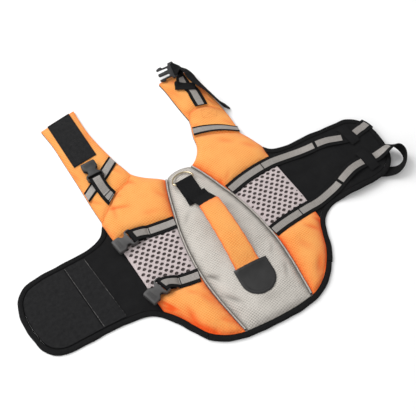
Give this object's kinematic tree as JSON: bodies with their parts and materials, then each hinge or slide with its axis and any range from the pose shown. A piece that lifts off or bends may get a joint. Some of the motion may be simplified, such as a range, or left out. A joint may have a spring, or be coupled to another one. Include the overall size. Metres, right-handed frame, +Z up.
{
  "type": "dog life jacket",
  "caption": "Padded dog life jacket laid out flat: foam back and side pads, mesh sides, belly flaps, neck straps, buckled webbing, carrying handle and ring.",
  "frame": {"origin": "on the spine, under the back panel, on the surface the jacket lies on", "axes": "+Z up from the surface, +Y along the spine to the neck, +X towards the flap on the wearer's right"},
  "size_m": [0.7427, 0.5573, 0.0424],
  "materials": {
    "orange_cloth": "matte, fine dobby weave",
    "grey_cloth": "matte, fine dobby weave",
    "spacer_mesh": "matte, open holes over black",
    "black_cloth": "matte",
    "loop_pile": "brushed loops",
    "webbing": "ribbed weave, satin",
    "reflective_tape": "satin, fine grid",
    "buckle_plastic": "fine moulded grain",
    "coated_patch": "smooth, slight gloss",
    "ring_metal": "plated, pale gold"
  },
  "bodies": {
    "garment": {"shoulder_left": "orange_cloth", "shoulder_right": "orange_cloth", "hip_left": "orange_cloth", "hip_right": "orange_cloth", "strap_left": "orange_cloth", "strap_right_lower": "orange_cloth", "strap_right_upper": "orange_cloth", "handle_sleeve": "orange_cloth", "back_panel": "grey_cloth", "piping_left": "grey_cloth", "piping_right": "grey_cloth", "mesh_left": "spacer_mesh", "mesh_right": "spacer_mesh", "flap_left": "black_cloth", "flap_right": "black_cloth", "keeper_front": "black_cloth", "keeper_rear": "black_cloth", "keeper_neck": "black_cloth", "loop_patch_strap": "loop_pile", "loop_pile_inner": "loop_pile", "loop_pile_outer": "loop_pile", "binding_left": "webbing", "binding_rear": "webbing", "binding_right": "webbing", "belly_strap_front_left": "webbing", "belly_strap_front_right": "webbing", "belly_strap_rear_left": "webbing", "belly_strap_rear_right": "webbing", "chest_strap_left": "webbing", "neck_band_left": "webbing", "neck_band_right": "webbing", "neck_strap_webbing_right": "webbing", "ring_tab": "webbing", "handle_webbing": "webbing", "tape_front_left": "reflective_tape", "tape_rear_left": "reflective_tape", "tape_front_right_inner": "reflective_tape", "tape_front_right_middle": "reflective_tape", "tape_front_right_tip": "reflective_tape", "tape_rear_right_inner": "reflective_tape", "tape_rear_right_middle": "reflective_tape", "tape_rear_right_tip": "reflective_tape", "chest_tape_left": "reflective_tape", "neck_tape_left": "reflective_tape", "neck_tape_right": "reflective_tape", "neck_webbing_tape_right": "reflective_tape", "socket_front": "buckle_plastic", "socket_rear": "buckle_plastic", "socket_chest": "buckle_plastic", "plug_front": "buckle_plastic", "plug_rear": "buckle_plastic", "plug_neck": "buckle_plastic", "handle_patch": "coated_patch"},
    "ring": {"d_ring": "ring_metal"}
  },
  "joints": [
    {"name": "ring_hinge", "type": "hinge", "parent": "garment", "child": "ring", "pos_m": [-0.0045, 0.1345, 0.01978], "axis": [1, 0, 0], "range_deg": [0, 160]}
  ]
}
